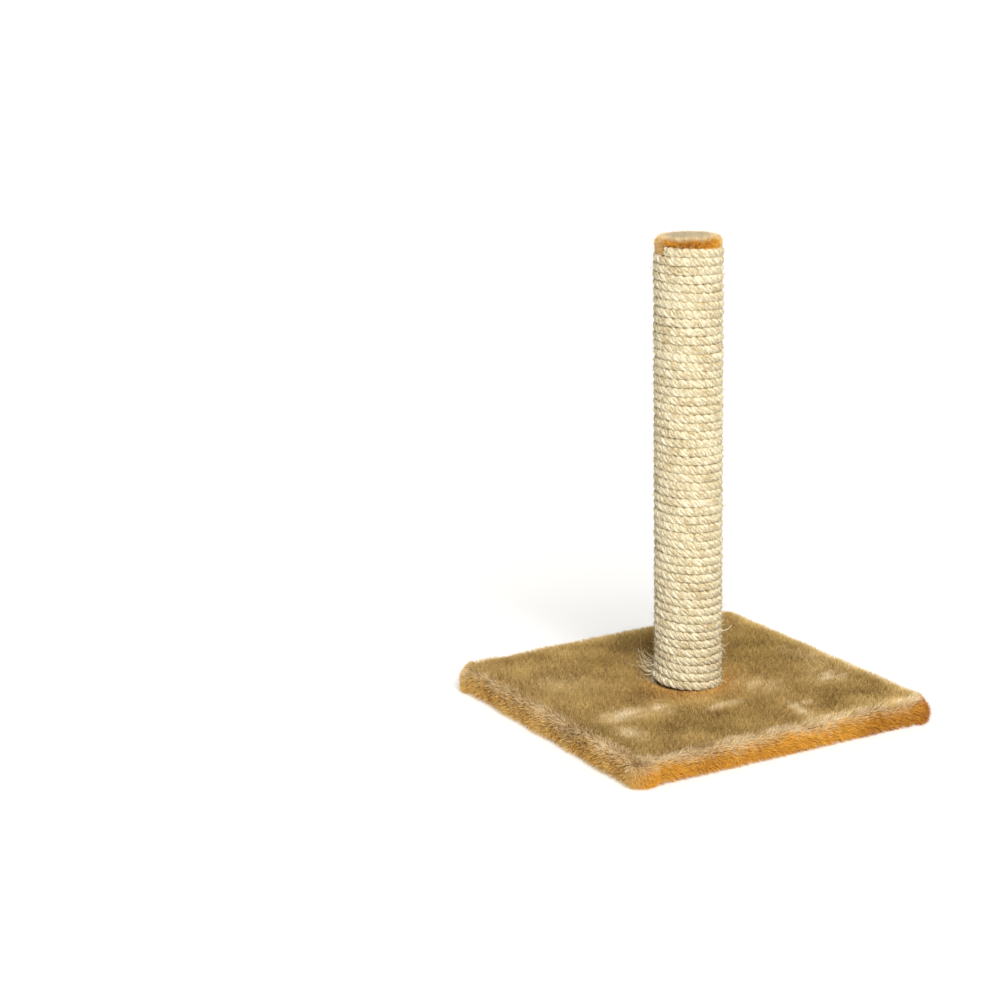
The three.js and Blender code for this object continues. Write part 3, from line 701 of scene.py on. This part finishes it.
pile_finish = fibre_finish("plush_pile", roughness=0.75, sheen=0.3, sheen_tint=(1, 0.7, 0.35))
by_column = np.tile(np.repeat([1, CORNER_CROWDING], SIDE_POINTS), 4)
top_rings = cover_rings[ring_ends["pressed"] - 1:ring_ends["top"] + 1]
crowding = np.ones((len(top_rings) - 1, 8 * SIDE_POINTS))
crowding[-2:] = by_column
top = cover_fibres(top_rings, TOP_FIBRES, crowding)
flank_rings = cover_rings[ring_ends["top"]:ring_ends["lower_edge"]]
by_ring = np.ones(len(flank_rings) - 1)
by_ring[:ring_ends["edge"] - ring_ends["top"]] = FOLD_CROWDING
quarter = (top[0][:, 0] > 0) + 2 * (top[0][:, 1] > 0)
patches = {
    "pile_top_front_left": [part[quarter == 0] for part in top],
    "pile_top_front_right": [part[quarter == 1] for part in top],
    "pile_top_back_left": [part[quarter == 2] for part in top],
    "pile_top_back_right": [part[quarter == 3] for part in top],
    "pile_sides": cover_fibres(flank_rings, SIDE_FIBRES, by_ring[:, None] * by_column),
    "pile_hem": hem_fibres(),
}
pile_pieces = [grow_fibres(name, *patch, pile_finish) for name, patch in patches.items()]
for piece in pile_pieces:
    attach(piece, "root")


# ---- Sisal rope ---------------------------------------------------------------------------------
# Pale three-strand sisal, glued on in close turns round the whole tube. It starts under the cap on
# the left of the front and runs down anticlockwise, as seen from above, to the back on the left,
# where its last turn flattens out on the base and its cut end frays.

HALF_ROPE = 0.0036
ROPE_RADIUS = 0.0265  # from the axis to the rope's centre line
STRAND_RADIUS = 0.0021
STRAND_OUT = 0.0015  # from the rope's centre line to a strand's, level, as the rope is pulled tight
STRAND_DOWN = 0.00222  # and upright, where the turns press on each other
INTO_CAP = 0.0012  # how far the first turn is pushed up into the cap's pile
START_ANGLE = radians(188)  # from +X towards +Y
TURNS = 51.92
FOOT_POWER = 4  # the last turn lands as this power of the turn left
FOOT_BULGE = 0.0026  # of the last turns, most on the camera's left
BULGE_SIDE = radians(155)  # from +X towards +Y
BULGE_TURNS = 2.6
BULGE_ALL_ROUND = 0.65  # of it, and the rest on that side
UNEVEN_OUT = (0.00025, 0.00022)  # how far the turns wander out and in, in two sines
UNEVEN_DOWN = 0.0003  # and up and down
LAY = 0.019  # length of rope in which a strand goes once round
STEPS_PER_LAY = 15
STRAND_SIDES = 9
STRAND_SWELL = 0.05  # how much a strand's thickness varies
TWIST_UNEVEN = (0.4, 0.25)  # in radians, in two sines
STRAND_END = 0.05  # the share of its thickness that a strand ends in
STRANDS_APART = 0.02  # in the pattern of fibres, in metres
JOIN_GAP = 0.0003  # in turns, between one node's rope and the next
SISAL_STRETCH = (1, 3.2, 1)  # along the strand and round it
SISAL_FIBRES = 330  # to the metre
SISAL_BLOTCHES = 45
BLOTCH_SHARE = 0.45
SISAL_RELIEF = 0.0014
STRAND_PALE = (1.0, 0.93, 0.70)
STRAND_CREAM = (0.82, 0.71, 0.46)
STRAND_TAN = (0.52, 0.37, 0.15)
HAIR_CREAM = (1.0, 0.92, 0.68)
HAIR_TAN = (0.58, 0.43, 0.20)
HAIR_WIDTH = 0.0004
HAIR_LENGTHS = (0.0025, 0.007)
HAIR_TAPER = 0.7
HAIR_ROLL = 1.1  # how far round the rope they grow, in radians either way from straight out
HAIR_LIFT = (0.1, 0.8)  # away from the rope, for each part along it
HAIR_TANGLE = 0.3
CURL = 0.25
HAIR_ROOT = 0.93  # how far out of the rope's half thickness they start
SURFACE_HAIRS = 5200
STRAY_WIDTH = 0.00055
LEFT_STRAY_LENGTHS = (0.007, 0.026)
RIGHT_STRAY_LENGTHS = (0.004, 0.011)
STRAYS = 64
LEFT_STRAYS = 0.7  # the share of them that is on the left
LEFT_STRAY_TURNS = 0.12  # the part of a turn that they spread over
RIGHT_STRAY_TURNS = 0.1
RIGHT_STRAYS_FROM = 0.52  # turns from the cut end
STRAY_ALONG = 0.35  # how much they go along the rope, for each part out
STRAY_TANGLE = 0.2
STRAY_DROOP = (0, 0, 0.2)
STRAY_RISE = (0, 0, 0.55)  # of their outer part, up
STRAY_BACK = 0.3  # and inwards
STRAY_ROOT = 0.9
STRAY_PALENESS = 0.5

rope_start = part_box("sisal_rope_upper")[1].z - HALF_ROPE + INTO_CAP
pitch = (rope_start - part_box("sisal_rope_lower")[0].z - HALF_ROPE) / TURNS
rope_length = 2 * pi * ROPE_RADIUS * TURNS


def rope_line(turns):
    """The rope's centre line after so many turns t, with the way out from the axis and the way on.
    Angle = start + 2 pi t and z = top - pitch t - dip. With u the part of a turn left, the dip is
    pitch (u - u^power) (t / turns)^2. The radius grows over the last turns, more on the left, and
    small sines of t move the line in and out, up and down."""
    angle = START_ANGLE + 2 * pi * turns
    out = np.stack([np.cos(angle), np.sin(angle), 0 * angle], 1)
    on = np.stack([-np.sin(angle), np.cos(angle), 0 * angle - pitch / 2 / pi / ROPE_RADIUS], 1)
    turn_left = (TURNS - turns) % 1
    dip = pitch * (turn_left - turn_left ** FOOT_POWER) * (turns / TURNS) ** 2
    near_foot = np.clip(1 - (TURNS - turns) / BULGE_TURNS, 0, 1)
    on_left = BULGE_ALL_ROUND + (1 - BULGE_ALL_ROUND) * np.cos(angle - BULGE_SIDE)
    wobble = UNEVEN_OUT[0] * np.sin(turns * 7.3) + UNEVEN_OUT[1] * np.sin(turns * 17.9 + 1)
    line = out * (ROPE_RADIUS + FOOT_BULGE * near_foot * on_left + wobble)[:, None]
    line[:, 2] = rope_start - pitch * turns - dip + UNEVEN_DOWN * np.sin(turns * 11.7)
    return line, out, unit(on)


def strand_tube(first, last, strand):
    """One strand between two turns, closed at its ends: a round tube of sides round
    line + a cos w out + b sin w down, where w = 2 pi length / lay + a third of a turn each, and
    small sines make the twist and the thickness a little uneven.
    Returns its points, its faces and, in metres, each point's place along and round it."""
    steps = int((last - first) * rope_length / TURNS / LAY * STEPS_PER_LAY)
    turns = np.linspace(first, last, steps)
    line, out, on = rope_line(turns)
    run = turns * rope_length / TURNS
    down = np.cross(on, out)
    w = 2 * pi * (run / LAY + strand / 3)
    w += TWIST_UNEVEN[0] * np.sin(turns * 5.1) + TWIST_UNEVEN[1] * np.sin(turns * 23)
    towards = STRAND_OUT * out * np.cos(w)[:, None] + STRAND_DOWN * down * np.sin(w)[:, None]
    centre = line + towards
    heading = unit(np.gradient(centre, axis=0))
    u = unit(np.cross(heading, np.cross(towards, heading)))
    v = np.cross(heading, u)
    swell = np.sin(run * 310 + strand * 2) + np.sin(run * 870 + strand)
    size = STRAND_RADIUS * (1 + STRAND_SWELL * swell)
    size[[0, -1]] *= STRAND_END
    angle = np.arange(STRAND_SIDES) / STRAND_SIDES * 2 * pi
    spokes = u[:, None] * np.cos(angle)[:, None] + v[:, None] * np.sin(angle)[:, None]
    points = centre[:, None] + spokes * size[:, None, None]
    place = np.stack(np.broadcast_arrays(run[:, None], angle * STRAND_RADIUS + STRANDS_APART * strand), -1)
    return points.reshape(-1, 3), grid_faces(steps, STRAND_SIDES)[:, ::-1], place.reshape(-1, 2)


def sisal_finish():
    """Sisal: fine long fibres along the strand in cream and tan, with a ridge to each."""
    finish, tree, shader = new_finish("sisal", roughness=0.7, sheen=0.1)
    strand = coordinates(tree, "UV", stretch=SISAL_STRETCH)
    fibres = cloudy(tree, strand, SISAL_FIBRES, roughness=0.7)
    blotches = cloudy(tree, coordinates(tree, "UV"), SISAL_BLOTCHES, detail=2)
    both = tree.nodes.new("ShaderNodeMath")
    both.operation = "MULTIPLY_ADD"
    both.inputs[1].default_value = BLOTCH_SHARE
    tree.links.new(blotches, both.inputs[0])
    tree.links.new(fibres, both.inputs[2])
    colour = tinted(tree, both.outputs["Value"], (0.61, STRAND_TAN), (0.7, STRAND_CREAM), (0.8, STRAND_PALE))
    tree.links.new(colour, shader.inputs["Base Color"])
    emboss(tree, shader, fibres, SISAL_RELIEF)
    return finish


def lay_rope(name, first, last):
    """The rope's three strands between two turns, as one piece."""
    strands = [strand_tube(first, last, strand) for strand in range(3)]
    shift = np.cumsum([0] + [len(points) for points, _, _ in strands[:-1]])
    faces = np.concatenate([faces + by for (_, faces, _), by in zip(strands, shift)])
    piece = place_mesh(name, np.concatenate([points for points, _, _ in strands]), faces, sisal)
    place = np.concatenate([place for _, _, place in strands])
    layer = piece.data.uv_layers.new(name="along_strand")
    layer.data.foreach_set("uv", place[faces.ravel()].astype(np.float32).ravel())
    return piece


def grow_hairs(name, roots, heading, curl, length, steps, width, paleness, finish):
    """Long fine hairs as ribbons that follow root + length (s heading + s^2 curl), in some steps. A
    paleness of 1 makes them all cream, and at 0 they go from tan to cream."""
    s = np.linspace(0, 1, steps + 1)[None, :, None]
    length = length[:, None, None]
    middle = roots[:, None] + heading[:, None] * s * length + curl[:, None] * s ** 2 * length
    flat = unit(np.cross(heading + curl, chance.normal(size=heading.shape)))[:, None]
    half = flat * width / 2 * (1 - HAIR_TAPER * s)
    points = np.stack([middle - half, middle + half], 2)
    points[..., 2] = np.maximum(points[..., 2], ABOVE_FLOOR)
    first = np.arange(len(roots))[:, None, None] * 2 * (steps + 1) + np.arange(steps)[None, :, None] * 2
    faces = (first + np.array([0, 1, 3, 2])).reshape(-1, 4)
    piece = place_mesh(name, points.reshape(-1, 3), faces, finish)
    tones = mix(HAIR_TAN, HAIR_CREAM, paleness + (1 - paleness) * chance.random(len(roots)))
    lay_tones(piece, np.repeat(tones[:, None], 2 * (steps + 1), 1))
    return piece


def surface_hairs():
    """Short hairs all over the rope that lie along it and stand off a little."""
    turns = chance.uniform(0, TURNS, SURFACE_HAIRS)
    line, out, on = rope_line(turns)
    roll = chance.uniform(-HAIR_ROLL, HAIR_ROLL, SURFACE_HAIRS)[:, None]
    away = out * np.cos(roll) + np.cross(on, out) * np.sin(roll)
    each = (SURFACE_HAIRS, 1)
    heading = on * chance.choice([-1, 1], each) + away * chance.uniform(*HAIR_LIFT, each)
    heading = unit(heading + chance.normal(scale=HAIR_TANGLE, size=away.shape))
    curl = chance.normal(scale=CURL, size=away.shape)
    length = chance.uniform(*HAIR_LENGTHS, SURFACE_HAIRS)
    return line + away * HALF_ROPE * HAIR_ROOT, heading, curl, length


def stray_hairs():
    """Long strays at the foot: most from the cut end and the two turns above it, on the left, and the
    rest from one and a half to six and a half turns above it, on the right. They go out and curl up."""
    left = np.arange(STRAYS) < STRAYS * LEFT_STRAYS
    back = np.where(
        left, chance.uniform(0, LEFT_STRAY_TURNS, STRAYS) + chance.integers(0, 3, STRAYS),
        RIGHT_STRAYS_FROM + chance.uniform(0, RIGHT_STRAY_TURNS, STRAYS) + chance.integers(1, 7, STRAYS))
    line, out, on = rope_line(TURNS - back)
    heading = out + on * chance.normal(scale=STRAY_ALONG, size=(STRAYS, 1))
    heading = unit(heading + chance.normal(scale=STRAY_TANGLE, size=out.shape) - STRAY_DROOP)
    curl = chance.normal(scale=CURL, size=out.shape) + STRAY_RISE - out * STRAY_BACK
    length = np.where(left, chance.uniform(*LEFT_STRAY_LENGTHS, STRAYS),
                      chance.uniform(*RIGHT_STRAY_LENGTHS, STRAYS))
    return line + out * HALF_ROPE * STRAY_ROOT, heading, curl, length


sisal = sisal_finish()
joins = np.linspace(0, TURNS, 4)
for part, name in enumerate(("upper", "middle", "lower")):
    piece = lay_rope("rope_" + name, joins[part], joins[part + 1] - JOIN_GAP)
    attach(piece, "root")
    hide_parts("sisal_rope_" + name)
hair_finish = fibre_finish("sisal_hair", roughness=0.6, sheen=0.1)
for name, hairs, steps, width, paleness in (
        ("rope_hairs", surface_hairs(), 3, HAIR_WIDTH, 0),
        ("rope_strays", stray_hairs(), 8, STRAY_WIDTH, STRAY_PALENESS)):
    piece = grow_hairs(name, *hairs, steps, width, paleness, hair_finish)
    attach(piece, "root")


# ---- Plush cap ----------------------------------------------------------------------------------
# A round cap of the same plush, glued over the post's top. Its short side comes down to the first
# turn of rope and follows it round, and its pile hides the edge.

CAP_REACH = 0.0245  # of the cloth, from the axis
CAP_EDGE = 0.003  # radius of its round edge
BEFORE_CAP_EDGE = 0.001  # from the last level ring to that
CAP_COLUMNS = 96
CAP_ABOVE_TUBE = 0.0002  # more than the slack
CAP_MIDDLE = 0.0005  # radius of the smallest ring
CAP_MIDDLE_INSIDE = 0.0004
RIM_ABOVE_ROPE = 0.0004
RIM_FALL = 0.9  # of the rope's pitch, in one turn
CAP_FIBRES = 20000
CAP_FIBRE_LENGTH = 0.0050
CREST_GROWTH = 0.2  # how much longer the fibres are round the cap's edge
CAP_LENGTH_SPREAD = (0.75, 1.05)
CAP_TONE_SPREAD = (0.8, 1.15)
CAP_TANGLE = 0.25
CAP_SWAY = 0.25
CAP_SWAY_LENGTH = 0.008
CAP_LIFT = (0, 0, 0.7)  # the lean up on its side
CAP_BEND = 0.3
# How much of the painted root shade the cap's pile takes.
CAP_SHADE = 0.6
CAP_PALE_FROM = 0.74  # of the way to the edge
CAP_PALE_WIDTH = 0.12
CAP_STREAKS = 0.7
CAP_GREY_TAN = (0.78, 0.68, 0.48)
CAP_ORANGE = (1.0, 0.57, 0.07)
CAP_ORANGE_SIDE = (-0.43, -0.90)  # the way that the orange part of its side faces

cap_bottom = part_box("top_plush_cap")[0].z
cap_cloth_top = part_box("post_tube")[1].z + SLACK + CLOTH + CAP_ABOVE_TUBE


def cap_rings():
    """Rings of the cap's shell: out over the top, down round the edge to the rim, and back up
    inside. The rim falls as the rope does, by nine tenths of its pitch in one turn from where the
    rope starts. Also returns how many of the rings are outside."""
    angle = np.arange(CAP_COLUMNS) / CAP_COLUMNS * 2 * pi
    turned = (angle - START_ANGLE) % (2 * pi) / 2 / pi
    rim = rope_start + HALF_ROPE + RIM_ABOVE_ROPE - pitch * turned * RIM_FALL
    outer = np.concatenate([
        level_run(CAP_MIDDLE, CAP_REACH - CAP_EDGE - BEFORE_CAP_EDGE, cap_cloth_top, 5),
        arc(CAP_REACH - CAP_EDGE, cap_cloth_top - CAP_EDGE, CAP_EDGE, 90, 0)])
    inner = outer[::-1] - (CLOTH, CLOTH)
    inner[:, 0] = np.maximum(inner[:, 0], CAP_MIDDLE_INSIDE)
    rows = np.concatenate([outer, inner])
    reach = np.insert(rows[:, 0], len(outer), [CAP_REACH, CAP_REACH - CLOTH])
    up = np.insert(rows[:, 1], len(outer), [0, 0])[:, None] + 0 * angle
    up[len(outer):len(outer) + 2] = rim
    reach = reach[:, None]
    return np.stack([reach * np.cos(angle), reach * np.sin(angle), up], 2), len(outer) + 1


def cap_fibres():
    """The cap's pile: upright and grey tan on the top, with a painted highlight at the edge and orange on
    the side.
    """
    roots, normals = spread_roots(rings[:outside], CAP_FIBRES)
    side = 1 - np.clip(normals[:, 2:], 0, 1)
    height = np.clip((roots[:, 2:] - cap_bottom) / (cap_cloth_top - cap_bottom), -1, 1)
    lean = chance.normal(scale=CAP_TANGLE, size=roots.shape) + CAP_LIFT * side * (height - 0.6)
    lean += CAP_SWAY * np.stack([waves(roots, CAP_SWAY_LENGTH, seed) for seed in (19, 20, 21)], 1)
    away = np.hypot(roots[:, 0], roots[:, 1]) / CAP_REACH
    side = side[:, 0]
    # Painted highlight on the tips round the cap's edge.
    tips = mix(CAP_GREY_TAN, RIM_HIGHLIGHT_PALE, (away - CAP_PALE_FROM) / CAP_PALE_WIDTH)
    orange = np.clip(side * 6 - 1 + CAP_STREAKS * waves(roots, STREAK_LENGTH, 15), 0, 1)
    orange *= np.clip(3.3 * (unit(roots[:, :2]) @ np.array(CAP_ORANGE_SIDE)) - 1, 0.4, 1)
    tips += (CAP_ORANGE - tips) * orange[:, None]
    tips *= chance.uniform(*CAP_TONE_SPREAD, (len(roots), 1))
    growth = CREST_GROWTH * np.sin(pi * side) * (1 + waves(roots, STREAK_LENGTH, 22))
    length = CAP_FIBRE_LENGTH * (1 + growth) * chance.uniform(*CAP_LENGTH_SPREAD, len(roots))
    return roots, unit(normals + lean), lean * CAP_BEND, length, tips, CAP_SHADE


rings, outside = cap_rings()
plush_cap = place_mesh("plush_cap", rings.reshape(-1, 3), grid_faces(*rings.shape[:2], rows_close=True),
                       bpy.data.materials["plush_backing"])
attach(plush_cap, "root")
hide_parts("top_plush_cap")
pile_cap = grow_fibres("pile_cap", *cap_fibres(), pile_finish)
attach(pile_cap, "root")
